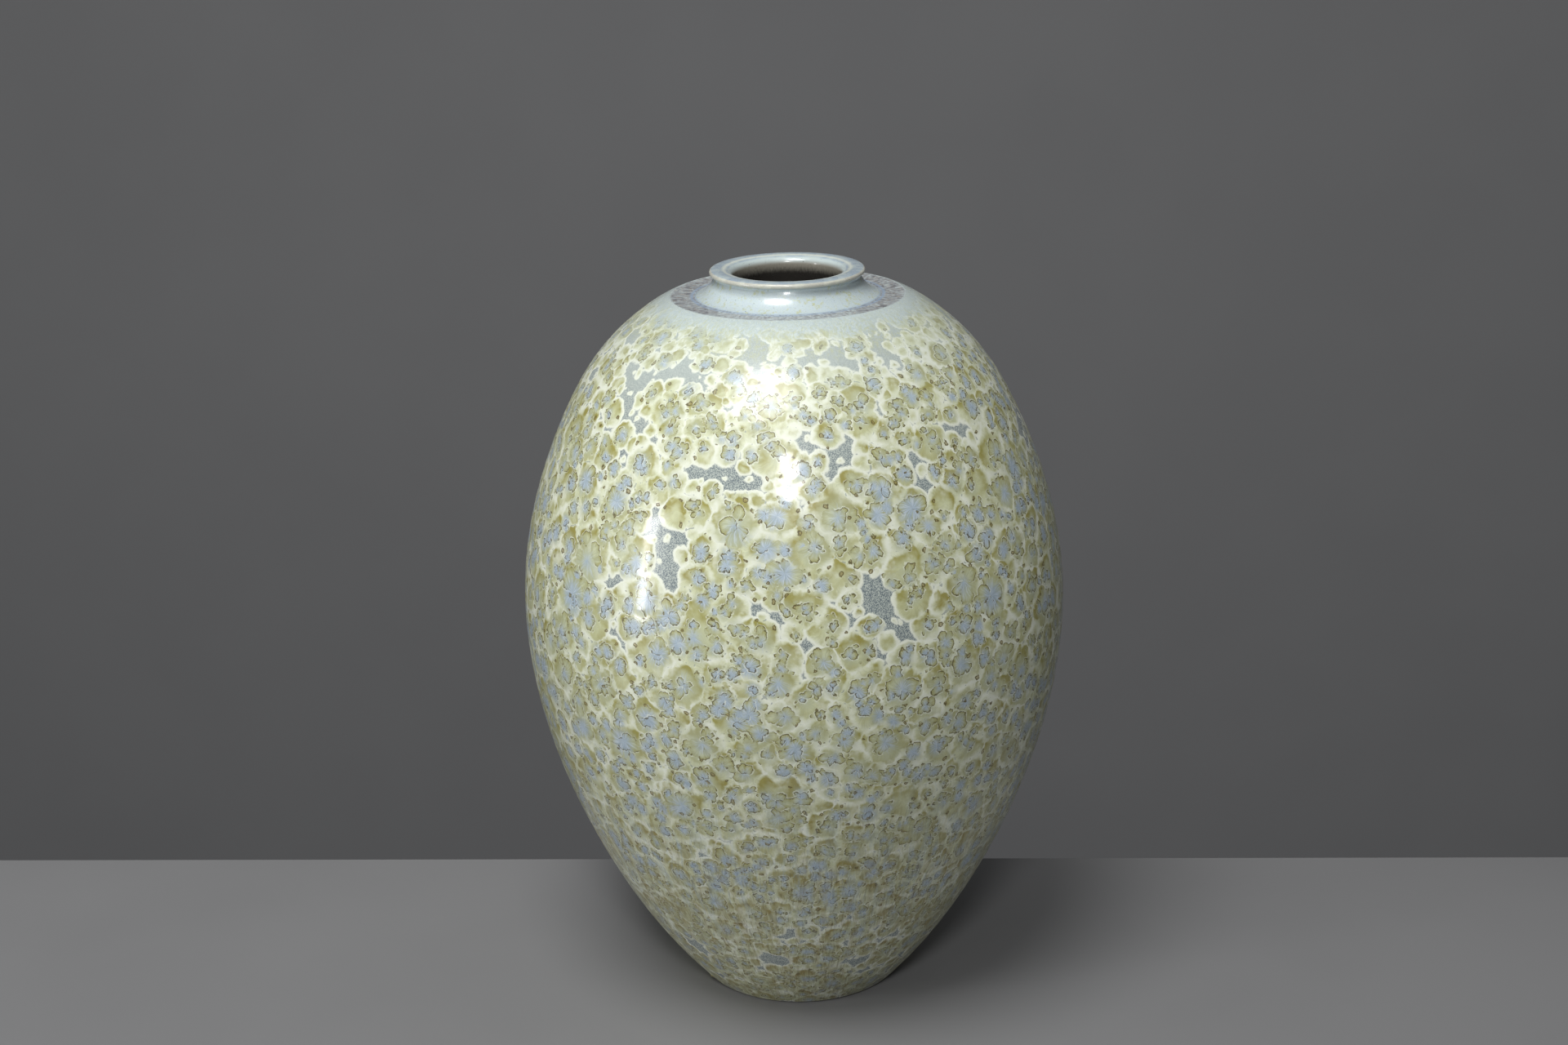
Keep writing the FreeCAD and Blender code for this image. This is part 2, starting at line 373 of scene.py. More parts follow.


# Bare patches in the glaze: degrees round from the front, height and radius in mm. Those within 60 degrees
# of the front follow spots picked in the photograph. A scratch script turned those from pixels into degrees
# and heights: 16 of these 45 rows are its results rounded, 9 lie within 1 of them, and 20 were set by hand
# near them. The rest are made up.
BARE_PATCHES = [
    (-12, 374, 8), (-56, 361, 5), (-51, 352, 5), (-46, 361, 4), (-36, 366, 5), (-29, 363, 4), (7, 372, 4),
    (16, 374, 4), (20, 368, 4), (33, 378, 5), (44, 378, 4), (33, 370, 4), (-42, 340, 4), (12, 331, 6),
    (4, 336, 3), (30, 326, 3), (31, 314, 4), (47, 333, 4), (-44, 325, 3), (-24, 325, 3), (-19, 324, 4),
    (-14, 322, 4), (-9, 320, 4), (-1, 318, 3), (-31, 300, 3), (-28, 292, 6), (-27, 280, 6), (-26, 272, 4),
    (-41, 267, 3), (-36, 237, 2), (-7, 264, 2), (-4, 260, 2), (15, 272, 5), (17, 262, 6), (20, 253, 4),
    (2, 246, 3), (17, 237, 2), (-38, 40, 4), (-12, 46, 5), (-7, 44, 5), (-5, 66, 3), (17, 41, 4),
    (24, 27, 3), (31, 55, 3), (42, 31, 3),
    (78, 318, 6), (84, 322, 4), (96, 352, 6), (105, 262, 6), (109, 256, 4), (124, 300, 4), (137, 368, 6),
    (150, 241, 4), (166, 318, 6), (171, 313, 5), (188, 274, 5), (203, 360, 5), (216, 306, 6), (221, 301, 4),
    (236, 255, 4), (247, 338, 6), (252, 345, 5), (266, 287, 6), (283, 351, 5), (289, 371, 5), (112, 44, 4),
    (171, 38, 4), (228, 50, 4), (268, 36, 4),
]


# How the search for the nearest growths is cut into parts
HEIGHT_BAND = 6 * MM
SEARCH_MARGIN = 12 * MM
POINTS_AT_ONCE = 240


class Crystals:
    """Places, directions and radii of one kind of crystal growth."""

    def __init__(self, centre, side, up, reach, kind):
        self.centre, self.side, self.up, self.reach, self.kind = centre, side, up, reach, kind

    def nearest(self, points, count):
        """The numbers of the growths whose edges come nearest to each point."""
        turn = np.arctan2(points[:, 1], points[:, 0])
        order = np.lexsort((turn, np.floor(points[:, 2] / HEIGHT_BAND)))
        found = np.zeros((len(points), count), np.int64)
        window = self.reach.max() + SEARCH_MARGIN
        for part in np.array_split(order, max(1, len(points) // POINTS_AT_ONCE)):
            spots = points[part]
            low, high = spots.min(axis=0) - window, spots.max(axis=0) + window
            close = np.flatnonzero(((self.centre > low) & (self.centre < high)).all(axis=1))
            if len(close) <= count:
                away = np.linalg.norm(self.centre - spots[0], axis=1)
                close = np.argsort(away, kind="stable")[: count + 1]
            gap = np.linalg.norm(spots[:, None] - self.centre[close][None], axis=2) - self.reach[close]
            few = np.argpartition(gap, count - 1, axis=1)[:, :count]
            rank = np.argsort(np.take_along_axis(gap, few, axis=1), axis=1, kind="stable")
            found[part] = close[np.take_along_axis(few, rank, axis=1)]
        return found

    def depth(self, points):
        """How far inside the nearest growth each point lies."""
        number = self.nearest(points, 1)[:, 0]
        return self.reach[number] - np.linalg.norm(points - self.centre[number], axis=1)

    def local(self, points, number):
        """Sideways and uphill distance and radius, in mm, of points from the numbered growths."""
        away = points - self.centre[number]
        sideways, uphill = ((away * way[number]).sum(-1) for way in (self.side, self.up))
        return np.stack([sideways, uphill, self.reach[number]], axis=-1) / MM


def radius_at(height, settings):
    """The radius of a full-grown crystal at a height."""
    big, small = settings.largest, settings.smallest
    heights = [0, 40 * MM, 120 * MM, 210 * MM, 290 * MM, 335 * MM, 360 * MM, settings.clear_shoulder]
    sizes = [0.62 * big, 0.66 * big, 0.78 * big, big, 0.95 * big, 0.76 * big, 1.2 * small, small]
    return np.interp(height, heights, sizes)


def spread_out(fired, random, sizes_at, rounds, allowed):
    """Grows discs in rounds of share, crowding and tries, each kept clear of the ones before it."""
    centre = np.zeros((0, 3))
    reach = np.zeros(0)
    kept = []
    for share, crowding, tries in rounds:
        along, turn = fired.scattered(random, tries)
        places, _, _ = fired.spots(along, turn)
        sizes = sizes_at(places[:, 2], random.random(tries)) * share
        for number in np.flatnonzero(allowed(places, sizes, share)):
            spot, size = places[number], sizes[number]
            if np.any(np.linalg.norm(centre - spot, axis=1) < (reach + size) * crowding):
                continue
            centre = np.vstack([centre, spot])
            reach = np.append(reach, size)
            kept.append((along[number], turn[number]))
    along, turn = np.array(kept).T
    centre, side, up = fired.spots(along, turn)
    return Crystals(centre, side, up, reach, random.random(len(reach)))


# Pads: share of full size, crowding and tries of each round, and how far a pad may grow into free room
PAD_ROUNDS = ((1.0, 0.72, 9000), (0.66, 0.76, 9000), (0.42, 0.84, 6000), (0.19, 1.05, 3000))
BUTTON_SHARE = 0.2
MOST_GROWTH = 1.5
BARE_SHARE = 0.88


def grow_pads(fired, settings, random):
    """The crystals' round pads: the large ones first, what fills in, and buttons in the bare patches."""
    bare_turn, bare_height, bare_radius = (np.array(column, float) for column in zip(*BARE_PATCHES))
    bare, _, _ = fired.spots(fired.at_height(bare_height * MM), np.radians(bare_turn))

    def room(places):
        away = np.linalg.norm(places[:, None] - bare[None], axis=2) - bare_radius * MM * BARE_SHARE
        return away.min(axis=1)

    def allowed(places, sizes, share):
        return (places[:, 2] < settings.clear_shoulder) & ((room(places) > sizes) | (share < BUTTON_SHARE))

    def sizes_at(height, chance):
        return radius_at(height, settings) * (0.66 + 0.62 * chance * chance)

    pads = spread_out(fired, random, sizes_at, PAD_ROUNDS, allowed)
    pads.reach = np.maximum(pads.reach, np.minimum(MOST_GROWTH * pads.reach, room(pads.centre)))
    return pads


# Hearts: the smallest pad that has one, the share of pads without one, and the extra hearts' round
HEARTED_RADIUS = 6.0 * MM
HEARTLESS = 0.06
EXTRA_HEARTS = ((1.0, 1.05, 5000),)


def grow_hearts(fired, pads, random):
    """The hearts that the needles start from: one near the middle of each large pad, and a few more."""
    large = np.flatnonzero((pads.reach > HEARTED_RADIUS) & (pads.kind > HEARTLESS))
    sizes = pads.reach[large] * random.uniform(0.30, 0.62, len(large))
    stray = pads.reach[large, None] * random.uniform(-0.22, 0.22, (len(large), 2))
    middle = pads.centre[large] + pads.side[large] * stray[:, :1] + pads.up[large] * stray[:, 1:]

    def allowed(places, sizes, share):
        return pads.depth(places) > 0.5 * sizes + 1.2 * MM

    def sizes_at(height, chance):
        return (2.6 + 2.6 * chance) * MM

    more = spread_out(fired, random, sizes_at, EXTRA_HEARTS, allowed)
    sizes = np.concatenate([sizes, more.reach])
    centre, side, up = fired.spots(*fired.traced(np.concatenate([middle, more.centre])))
    return Crystals(centre, side, up, sizes, random.random(len(sizes)))


# Ring dots: their round, and what sets their kinds above those of the lobes, which are under 1
RING_DOTS = ((1.0, 2.2, 2600),)
DOT_KIND = 1.0
KIND_SPAN = 0.98


def grow_lobes(fired, pads, hearts, random):
    """Lobes and crumbs round the hearts, and small ring dots scattered over the pads."""
    rows = []
    for number, reach in enumerate(hearts.reach):
        lie, squash = random.uniform(0, math.tau), random.uniform(0.25, 1.0)
        for _ in range(random.integers(4, 10)):
            angle = random.uniform(0, math.tau)
            oval = math.hypot(math.cos(angle), squash * math.sin(angle))
            away = reach * random.uniform(0.30, 1.05) * oval
            size = reach * random.uniform(0.16, 0.48)
            rows.append((number, angle + lie, away, size, random.random() * KIND_SPAN))
        for _ in range(random.integers(0, 4)):
            size = random.uniform(0.4, 1.0) * MM
            away = reach * random.uniform(0.9, 1.6)
            rows.append((number, random.uniform(0, math.tau), away, size, random.random() * KIND_SPAN))
    parent, angle, away, reach, kind = (np.array(column) for column in zip(*rows))
    out = hearts.side[parent] * np.cos(angle)[:, None] + hearts.up[parent] * np.sin(angle)[:, None]
    centre = hearts.centre[parent] + out * away[:, None]
    dots = spread_out(
        fired,
        random,
        lambda height, chance: (0.7 + 0.6 * chance) * MM,
        RING_DOTS,
        lambda places, sizes, share: pads.depth(places) > sizes,
    )
    reach = np.concatenate([reach, dots.reach])
    kind = np.concatenate([kind, DOT_KIND + dots.kind * KIND_SPAN])
    centre, side, up = fired.spots(*fired.traced(np.concatenate([centre, dots.centre])))
    return Crystals(centre, side, up, reach, kind)


def write_growths(mesh, name, growths, count):
    """Stores each corner's place in its nearest growths, for the glaze's shader to read."""
    points = points_of(mesh)
    corner = read(mesh.loops, "vertex_index", np.int64)
    middle = read(mesh.polygons, "center", np.float32, 3).astype(float)
    found = np.repeat(growths.nearest(middle, count), read(mesh.polygons, "loop_total", np.int64), axis=0)
    kinds = np.zeros((len(corner), 3))
    for rank in range(count):
        number = found[:, rank]
        kinds[:, rank] = growths.kind[number]
        put_vectors(mesh, f"{name}_{rank + 1}", growths.local(points[corner], number))
    put_vectors(mesh, f"{name}_kinds", kinds)


def put_vectors(mesh, name, vectors):
    attribute = mesh.attributes.new(name, "FLOAT_VECTOR", "CORNER")
    attribute.data.foreach_set("vector", vectors.astype(np.float32).ravel())


# Turning


SEAM_HALF_WIDTH = 1e-7
CORNER = math.radians(26)


def seam_loop(node):
    """The closed outline, as radius and height, of a turned CAD node, read along its seam."""
    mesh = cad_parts[node].data
    spot = {
        vertex.index: (round(vertex.co.x, 6), round(vertex.co.z, 6))
        for vertex in mesh.vertices
        if abs(vertex.co.y) < SEAM_HALF_WIDTH and vertex.co.x > 0
    }
    beside = {place: set() for place in spot.values()}
    for face in mesh.polygons:
        ends = {spot[number] for number in face.vertices if number in spot}
        if len(ends) == 2:
            first, second = ends
            beside[first].add(second)
            beside[second].add(first)
    left = set(beside)
    here = min(left, key=lambda place: (len(beside[place]), place))
    loop = []
    while left:
        left.discard(here)
        loop.append(here)
        ways = beside[here] & left or {place for place in left if len(beside[place]) < 2} or left
        if left:
            here = min(ways, key=lambda place: (math.dist(place, here), place))
    return np.array(loop)


def runs_of(loop):
    """The loop's smooth stretches, cut at its corners, going round anticlockwise."""
    ahead = np.roll(loop, -1, axis=0)
    area = (loop[:, 0] * ahead[:, 1] - ahead[:, 0] * loop[:, 1]).sum()
    loop = loop if area > 0 else loop[::-1]
    leave = np.roll(loop, -1, axis=0) - loop
    arrive = loop - np.roll(loop, 1, axis=0)
    turn = np.arctan2(
        arrive[:, 0] * leave[:, 1] - arrive[:, 1] * leave[:, 0], (arrive * leave).sum(axis=1)
    )
    corners = np.flatnonzero(np.abs(turn) > CORNER)
    if len(corners) < 2:
        raise RuntimeError("a turned piece's outline has too few corners")
    runs = []
    for first, last in zip(corners, np.roll(corners, -1)):
        count = (last - first) % len(loop)
        runs.append(loop[(first + np.arange(count + 1)) % len(loop)])
    return runs


def smooth_through(points, spacing):
    """Points a spacing apart on the cubic spline through a run's points, without the last one."""
    along = np.concatenate([[0.0], np.cumsum(np.linalg.norm(np.diff(points, axis=0), axis=1))])
    steps = max(1, int(math.ceil(along[-1] / spacing)))
    wanted = np.linspace(0.0, along[-1], steps + 1)[:-1]
    count = len(points)
    if count < 4:
        return np.column_stack([np.interp(wanted, along, points[:, axis]) for axis in (0, 1)])
    gap = np.diff(along)
    inner = np.arange(1, count - 1)
    system = np.zeros((count, count))
    system[0, :2] = (1, -1)
    system[-1, -2:] = (-1, 1)
    system[inner, inner - 1] = gap[:-1]
    system[inner, inner] = 2 * (gap[:-1] + gap[1:])
    system[inner, inner + 1] = gap[1:]
    right = np.zeros((count, 2))
    right[inner] = 6 * np.diff(np.diff(points, axis=0) / gap[:, None], axis=0)
    bend = np.linalg.solve(system, right)
    piece = np.clip(np.searchsorted(along, wanted, side="right") - 1, 0, count - 2)
    width = gap[piece][:, None]
    before = (along[piece + 1] - wanted)[:, None]
    after = (wanted - along[piece])[:, None]
    return (
        (bend[piece] * before**3 + bend[piece + 1] * after**3) / (6 * width)
        + (points[piece] / width - bend[piece] * width / 6) * before
        + (points[piece + 1] / width - bend[piece + 1] * width / 6) * after
    )


def outline_of(node, spacing, backing):
    """A turned node's outline at even spacing, with a coarser one where it faces into the jar."""
    middle = np.array([0.0, 0.5 * JAR_HEIGHT])
    parts = []
    for run in runs_of(seam_loop(node)):
        steps = np.diff(run, axis=0)
        out = np.column_stack([steps[:, 1], -steps[:, 0]])
        facing = (out * ((run[1:] + run[:-1]) / 2 - middle)).sum()
        parts.append(smooth_through(run, spacing if facing > 0 else backing))
    return np.concatenate(parts)


def wheel_group():
    """Geometry nodes that turn an outline into a closed ring about the jar's axis."""
    tree = bpy.data.node_groups.new("Turn on the wheel", "GeometryNodeTree")
    sockets = {}
    kinds = {"Outline": "Geometry", "Steps": "Int", "Wheel": "Float", "Glaze": "Material"}
    for name, kind in kinds.items():
        sockets[name] = tree.interface.new_socket(name, in_out="INPUT", socket_type=f"NodeSocket{kind}")
    tree.interface.new_socket("Ring", in_out="OUTPUT", socket_type="NodeSocketGeometry")
    given, outline, circle, upright, swept, real, glazed, made = (
        tree.nodes.new(kind)
        for kind in (
            "NodeGroupInput",
            "GeometryNodeMeshToCurve",
            "GeometryNodeCurvePrimitiveCircle",
            "GeometryNodeSetCurveNormal",
            "GeometryNodeCurveToMesh",
            "GeometryNodeRealizeInstances",
            "GeometryNodeSetMaterial",
            "NodeGroupOutput",
        )
    )
    upright.mode = "Z_UP"
    for source, output, target, socket in (
        (given, "Outline", outline, "Mesh"),
        (given, "Steps", circle, "Resolution"),
        (given, "Wheel", circle, "Radius"),
        (circle, "Curve", upright, "Curve"),
        (upright, "Curve", swept, "Curve"),
        (outline, "Curve", swept, "Profile Curve"),
        (swept, "Mesh", real, "Geometry"),
        (real, "Geometry", glazed, "Geometry"),
        (given, "Glaze", glazed, "Material"),
        (glazed, "Geometry", made, "Ring"),
    ):
        tree.links.new(source.outputs[output], target.inputs[socket])
    return tree, {name: socket.identifier for name, socket in sockets.items()}


def settle_modifier(piece):
    """Turns a piece with its modifier into a plain mesh."""
    bpy.context.view_layer.update()
    seen = piece.evaluated_get(bpy.context.evaluated_depsgraph_get())
    mesh = bpy.data.meshes.new_from_object(seen)
    piece.modifiers.clear()
    rough = piece.data
    piece.data = mesh
    bpy.data.meshes.remove(rough)
    mesh.name = piece.name
    return mesh


def turn(name, outline, steps, material):
    """A ring turned from an outline of radii and heights."""
    wheel = float(outline[:, 0].min() * 0.5)
    mesh = bpy.data.meshes.new(name)
    flat = np.column_stack([outline[:, 0] - wheel, -outline[:, 1], np.zeros(len(outline))])
    count = len(flat)
    mesh.from_pydata(flat.tolist(), [(i, (i + 1) % count) for i in range(count)], [])
    piece = bpy.data.objects.new(name, mesh)
    bpy.context.scene.collection.objects.link(piece)
    tree, keys = wheel_group()
    modifier = piece.modifiers.new("Turn on the wheel", "NODES")
    modifier.node_group = tree
    modifier[keys["Steps"]] = steps
    modifier[keys["Wheel"]] = wheel
    modifier[keys["Glaze"]] = material
    mesh = settle_modifier(piece)
    if len(mesh.polygons) != steps * count:
        raise RuntimeError(f"{name} was not turned whole")
    if signed_volume(mesh) < 0:
        mesh.flip_normals()
    mesh.shade_smooth()
    mesh.set_sharp_from_angle(angle=CORNER)
    return piece


def read(items, name, kind, width=1):
    """One property of every item, as an array."""
    values = np.empty(len(items) * width, kind)
    items.foreach_get(name, values)
    return values.reshape(-1, width) if width > 1 else values


def points_of(mesh):
    return read(mesh.vertices, "co", np.float32, 3).astype(float)


def set_points(mesh, points):
    mesh.vertices.foreach_set("co", points.astype(np.float32).ravel())
    mesh.update()


def signed_volume(mesh):
    mesh.calc_loop_triangles()
    corners = points_of(mesh)[read(mesh.loop_triangles, "vertices", np.int64, 3)]
    return (corners[:, 0] * np.cross(corners[:, 1], corners[:, 2])).sum() / 6


def stand_for(piece, nodes):
    """The piece takes the CAD nodes' place on the jar's body."""
    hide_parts(*nodes)
    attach(piece, "root")


# Finishes


def nearest_growth(finish, name, count, bend):
    """The growth that a point lies in: its place, radius and kind, and the gap to the next one."""
    kinds = finish.attribute(f"{name}_kinds").parts()[:count]
    best = None
    for rank, kind in enumerate(kinds, 1):
        stored = finish.attribute(f"{name}_{rank}")
        reach = stored.parts()[2]
        place = stored * (1.0, 1.0, 0.0) + bend
        gap = place.reach() - reach
        about = finish.arrow(reach, kind, 0.0)
        if best is None:
            best, second = (place, about, gap), None
            continue
        closer = gap < best[2]
        farther = gap.most(best[2])
        second = farther if second is None else second.least(farther)
        places = finish.choose(closer, best[0], place)
        abouts = finish.choose(closer, best[1], about)
        best = (places, abouts, gap.least(best[2]))
    reach, kind, _ = best[1].parts()
    return best[0], reach, kind, best[2], second


class CrystalGlaze:
    """Olive and cream pads with blue-needled hearts, in a pale grained ground."""

    def __init__(self, colours):
        self.colours = colours
        self.finish = Finish("crystalline_glaze")
        self.place = self.finish.place()
        x, y, self.height = self.place.parts()
        level = self.finish.arrow(x, y, 0.0).aim()
        self.flow = level * 140.0 + self.finish.arrow(0.0, 0.0, self.height * 0.2)
        self.low = self.height.rise(55, 215, 1.0, 0.0)
        self.slow = self.finish.noise(self.place, 0.045, 2.0)
        self.fine = self.finish.noise(self.place, 2.2, 2.0, 0.6)
        self.cloud = self.finish.noise(self.place + (31.0, 7.0, 53.0), 0.085, 3.0, 0.6)
        broad = self.finish.drift(self.place, 0.10, (5.5, 5.5, 0.0), 1.0)
        close = self.finish.drift(self.place, 0.34, (3.0, 3.0, 0.0), 4.0)
        self.bend = broad + close

    def rays(self, aim, seed, turns, detail):
        return self.finish.noise(aim * turns + seed, 1.0, detail, 0.65)

    def pads(self):
        """Cream pads with an olive belt under a pale rim; also gives how much of a pad lies here."""
        finish, colours, slow = self.finish, self.colours, self.slow
        spot, reach, kind, gap, second = nearest_growth(finish, "pad", 3, self.bend)
        free = -gap
        contact = (second - gap) * 0.5
        depth = free.least(contact + 0.4)
        aim = spot.aim()
        uphill = aim.parts()[1]
        seed = finish.arrow(kind * 31, kind * 17, kind * 53)
        hairs = self.rays(aim, seed, 15.0, 2.0)
        broad = self.rays(aim, seed, 3.0, 1.0)
        patch = finish.noise(self.place, 0.13, 2.0)
        width = patch.rise(0.34, 0.64, 0.7, 3.6)
        within = (depth + (hairs - 0.5) * 2.6 - width * 0.5) / (reach * 0.30 + 1.8)
        belt = within.rise(0.25, 1.35, 1.0, 0.15) * ((depth + (hairs - 0.5)) / width).rise(0.10, 1.70)
        top = (uphill + (broad - 0.5) * 1.2).rise(-1.0, 0.35, 0.45, 1.0)
        shade = belt * top * slow.rise(0.3, 0.7, 0.95, 1.2) * self.cloud.rise(0.36, 0.62, 1.10, 0.60)
        brown = self.low * 0.7 + slow.rise(0.4, 0.7, 0.0, 0.3)
        tone = finish.blend(brown.held(), colours.olive, colours.ochre)
        body = Coats(finish, colours, "cream")
        body.lay(hairs.rise(0.42, 0.66) * 0.45 + self.fine.rise(0.5, 0.7) * 0.2, "lobe")
        body.lay(self.low * slow.rise(0.3, 0.6) * 0.35, "lobe")
        body.lay(shade.held(), tone)
        seam = (contact / width).rise(0.0, 1.1, 1.0, 0.0) * self.cloud.rise(0.36, 0.60, 0.14, 0.95)
        seam = seam * (1 - self.low * uphill.size().rise(0.95, 0.35, 0.10, 0.85))
        rim = free.rise(0.4, 2.2, 0.95, 0.0).most(seam)
        body.lay(rim.most(self.cloud.rise(0.54, 0.70) * 0.55), "rim")
        crumbs = finish.noise(self.place, 0.33, 2.0).rise(0.60, 0.66)
        body.lay(contact.rise(0.15, 0.45, 1.0, 0.0) * crumbs * 0.6, "grain")
        return body, gap, gap.rise(-0.1, 0.15, 1.0, 0.0)

    def hearts(self, body, on_pad):
        """Blue needles that spread from a heart through grey-green lobes with dark scalloped edges."""
        finish, colours = self.finish, self.colours
        spot, reach, kind, gap, _ = nearest_growth(finish, "heart", 2, self.bend * 0.6)
        aim = spot.aim()
        seed = finish.arrow(kind * 91, kind * 37, spot.reach() * 0.10)
        needles = self.rays(aim, seed, 7.5, 3.0)
        share = -gap / reach
        downhill = aim.parts()[1].rise(-1.0, 0.2, 0.25, 0.0)
        cold = finish.noise(self.place, 0.030, 1.0).rise(0.40, 0.60, -0.30, 0.15)
        cold = cold - self.height.rise(150, 60) * 0.12
        star = (share + downhill + cold + (needles - 0.5) * 1.5).rise(0.10, 1.0)
        glow = (share + downhill).rise(-0.45, 0.45)
        blue = finish.blend(needles.rise(0.42, 0.64), colours.needle, colours.needle_light)

        twist = self.bend * 0.6 + finish.drift(self.place, 0.55, (2.4, 2.4, 0.0), 3.0)
        lobe_spot, _, lobe_kind, lobe_gap, _ = nearest_growth(finish, "lobe", 3, twist)
        dot = lobe_kind > DOT_KIND
        lobe = (1 - dot) * on_pad
        inside = lobe_gap.rise(-0.15, 0.15, 1.0, 0.0)
        outward = aim.along(lobe_spot.aim())
        facing = (outward + (lobe_kind - 0.6) * 1.8 + (self.fine - 0.5) * 1.6).rise(-0.1, 0.5)
        margin = lobe_gap.rise(-3.2, 0.0)
        petal = Coats(finish, colours, "lobe")
        petal.lay(margin * (0.35 + facing * 0.5), "olive")
        petal.lay(needles.rise(0.38, 0.6) * (1 - margin * 0.8) * 0.7, "cream")
        body.lay(glow * 0.5 * on_pad, "lobe")
        body.lay(inside * lobe * 0.85, petal.colour)
        body.lay(star * on_pad * needles.rise(0.3, 0.55, 0.45, 0.90), blue)
        light = lobe_gap.near(0.45, 0.45) * facing * lobe
        body.lay(light * 0.6, "rim")
        brim = lobe_gap.near(-0.10, 0.42) * facing * lobe
        ring = lobe_gap.near(-0.30, 0.42) * dot * on_pad
        body.lay(inside * dot * on_pad * 0.7, "ochre")
        dark = brim.most(ring)
        body.lay(dark * 0.92, "outline")
        return star * on_pad, dark, needles

    def lower_streaks(self, body, on_pad):
        """Upright streaks, blue, pale and dark, that thicken toward the foot."""
        finish, colours, low = self.finish, self.colours, self.low
        sway = finish.drift(self.place, 0.06, (7.0, 7.0, 2.0), 2.0)
        wide = finish.noise(self.flow + sway, 0.22, 3.0, 0.6)
        slim = finish.noise(self.flow + sway, 0.85, 2.0, 0.6)
        waist = low * self.height.rise(35, 110)
        body.lay(wide.rise(0.50, 0.62) * waist * on_pad * 0.32, "needle")
        body.lay(wide.rise(0.52, 0.40) * low * on_pad * 0.35, "ochre")
        body.lay(slim.rise(0.55, 0.66) * low * 0.35, "cream")
        body.lay(slim.rise(0.46, 0.36) * low * on_pad * 0.4, "outline")

    def ground(self, gap):
        finish, colours = self.finish, self.colours
        grains = finish.noise(self.place * (1.0, 1.0, 0.75), 2.1, 2.0, 0.65)
        dark = grains.rise(0.42, 0.56) * self.height.rise(310, 372, 1.0, 0.45)
        ground = finish.blend(dark, colours.ground, colours.grain)
        return finish.blend(gap.rise(0.0, 0.8, 0.8, 0.0), ground, colours.rim)

    def shoulder(self, glaze):
        """The pale glaze over the highest crystals, streaked with yellow-green hairs."""
        finish, colours = self.finish, self.colours
        clear = self.height + (finish.noise(self.place, 0.10, 2.0) - 0.5) * 14
        flow, _, _ = runs_down(finish, self.place + self.bend, 70.0, 0.35)
        hair = finish.noise(flow, 0.8, 4.0, 0.7).rise(0.44, 0.60)
        high = self.height + (finish.noise(flow, 0.35, 2.0) - 0.5) * 10
        glaze.lay(hair * high.rise(368, 376) * 0.55, "hair")
        slim = finish.noise(flow, 1.9, 3.0, 0.7)
        pale = Coats(finish, colours, "shoulder")
        pale.lay(hair * high.rise(379, 387, 1.0, 0.25) * 0.8, "hair")
        pale.lay(slim.rise(0.50, 0.62) * 0.45, "lip")
        pale.lay(slim.rise(0.46, 0.36) * 0.40, "rim")
        pale.lay(self.fine.rise(0.56, 0.68) * 0.25, "grain")
        glaze.lay(clear.rise(376.5, 385), pale.colour)
        glaze.lay(self.height.rise(345, 380, 0.0, 0.25), "shoulder")

    def made(self):
        body, gap, on_pad = self.pads()
        star, dark, needles = self.hearts(body, on_pad)
        self.lower_streaks(body, on_pad)
        glaze = Coats(self.finish, self.colours, self.ground(gap))
        glaze.lay(on_pad, body.colour)
        self.shoulder(glaze)
        rough = 0.24 + on_pad * 0.07 - star * 0.05 + self.fine * 0.05
        grown = self.height.rise(383, 377)
        relief = (on_pad * 0.5 + (needles - 0.5) * star * 0.3 - dark * 0.3) * grown + self.fine * 0.15
        return self.finish.finish(glaze.colour, rough, relief, 0.00010, coat=0.35)


def runs_down(finish, place, turns, stretch):
    """Where streaks follow the way that glaze runs; also gives the radius and height there."""
    x, y, height = place.parts()
    level = finish.arrow(x, y, 0.0)
    radius = level.reach()
    return level.aim() * turns + finish.arrow(0.0, 0.0, (radius - height) * stretch), radius, height


# Where the neck's glazes change, and where painted shade lies under the lip and down the throat, as radii and
# heights in mm
BAND_INNER = 50.0
BAND_EDGE = (60.0, 61.6)
SKIRT_FOOT = 48.6
SKIRT_FOOT_HIGH = (388.5, 386.5)
# Painted shade under the lip's bead: its height, and the radii over which it fades in
LIP_SHADE_HEIGHT = 393.6
LIP_SHADE_OUT = (43.0, 40.0)
BEAD_HIGH = (396.2, 397.0)
BEAD_OUT = (38.6, 39.6)
LIP_TOP_HIGH = (398.6, 399.2)
LIP_TOP_OUT = (40.0, 39.4)
LIP_RING = 33.0
THROAT_OUT = (33.2, 31.4)
THROAT_HIGH = (399.3, 398.3)
# Painted shade down the throat: the heights where it turns grey and then near-black
THROAT_SHADE_GREY = (398.4, 395.4)
THROAT_SHADE_DARK = (396.0, 390.5)


def band_finish(colours):
    """Lilac-grey band, streaked pale and dark the way that the glaze ran off the neck."""
    finish = Finish("band_glaze")
    place = finish.place()
    wander = finish.drift(place, 0.13, (7.0, 7.0, 7.0), 3.0)
    flow, _, _ = runs_down(finish, place + wander, 40.0, 0.38)
    _, radius, _ = runs_down(finish, place, 1.0, 1.0)
    streaks = finish.noise(flow, 0.85, 4.0, 0.62)
    fine = finish.noise(place, 2.2, 3.0, 0.6)
    base = Coats(finish, colours, "band_dark")
    base.lay(streaks.rise(0.38, 0.56), "band")
    base.lay(streaks.rise(0.54, 0.64) * 0.85, "shoulder")
    base.lay(finish.noise(place, 0.5, 3.0).rise(0.56, 0.66) * 0.5, "clay")
    base.lay((radius + (fine - 0.5) * 3.0).rise(*BAND_EDGE) * 0.7, "shoulder")
    base.lay((radius + (streaks - 0.5) * 2.0).near(BAND_INNER, 1.5) * 0.7, "needle")
    return finish.finish(base.colour, 0.3 + fine * 0.08, streaks * 0.6 + fine * 0.3, 0.00008, coat=0.25)


